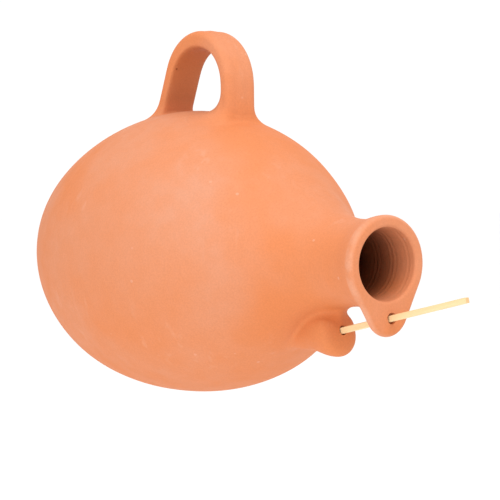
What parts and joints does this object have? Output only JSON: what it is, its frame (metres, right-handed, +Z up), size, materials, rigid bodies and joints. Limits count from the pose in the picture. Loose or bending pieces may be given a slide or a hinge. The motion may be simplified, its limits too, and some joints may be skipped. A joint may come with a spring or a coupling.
{
  "type": "terracotta bird nest pot",
  "caption": "Hanging egg-shaped terracotta nest pot with a necked side entrance, pulled lip, strap handle, perch lug and a removable wooden perch.",
  "frame": {"origin": "the hanging point, on the middle of the underside of the handle's arch, where a cord or hook bears", "axes": "+Z up as the pot hangs, -Y out of the mouth along the pot's axis, +Y towards the flat thrown base, X across the pot"},
  "size_m": [0.1812, 0.3723, 0.2367],
  "materials": {
    "fired_clay": "unglazed matte terracotta",
    "perch": "bare pale wood, sanded"
  },
  "bodies": {
    "pot": {"belly": "fired_clay", "neck_collar": "fired_clay", "strap_handle": "fired_clay", "perch_lug": "fired_clay"},
    "perch": {"perch": "perch"}
  },
  "joints": [
    {"name": "perch_slide", "type": "slide", "parent": "pot", "child": "perch", "axis": [0.075, -0.9708, 0.2279], "range_m": [0, 0.055]}
  ]
}
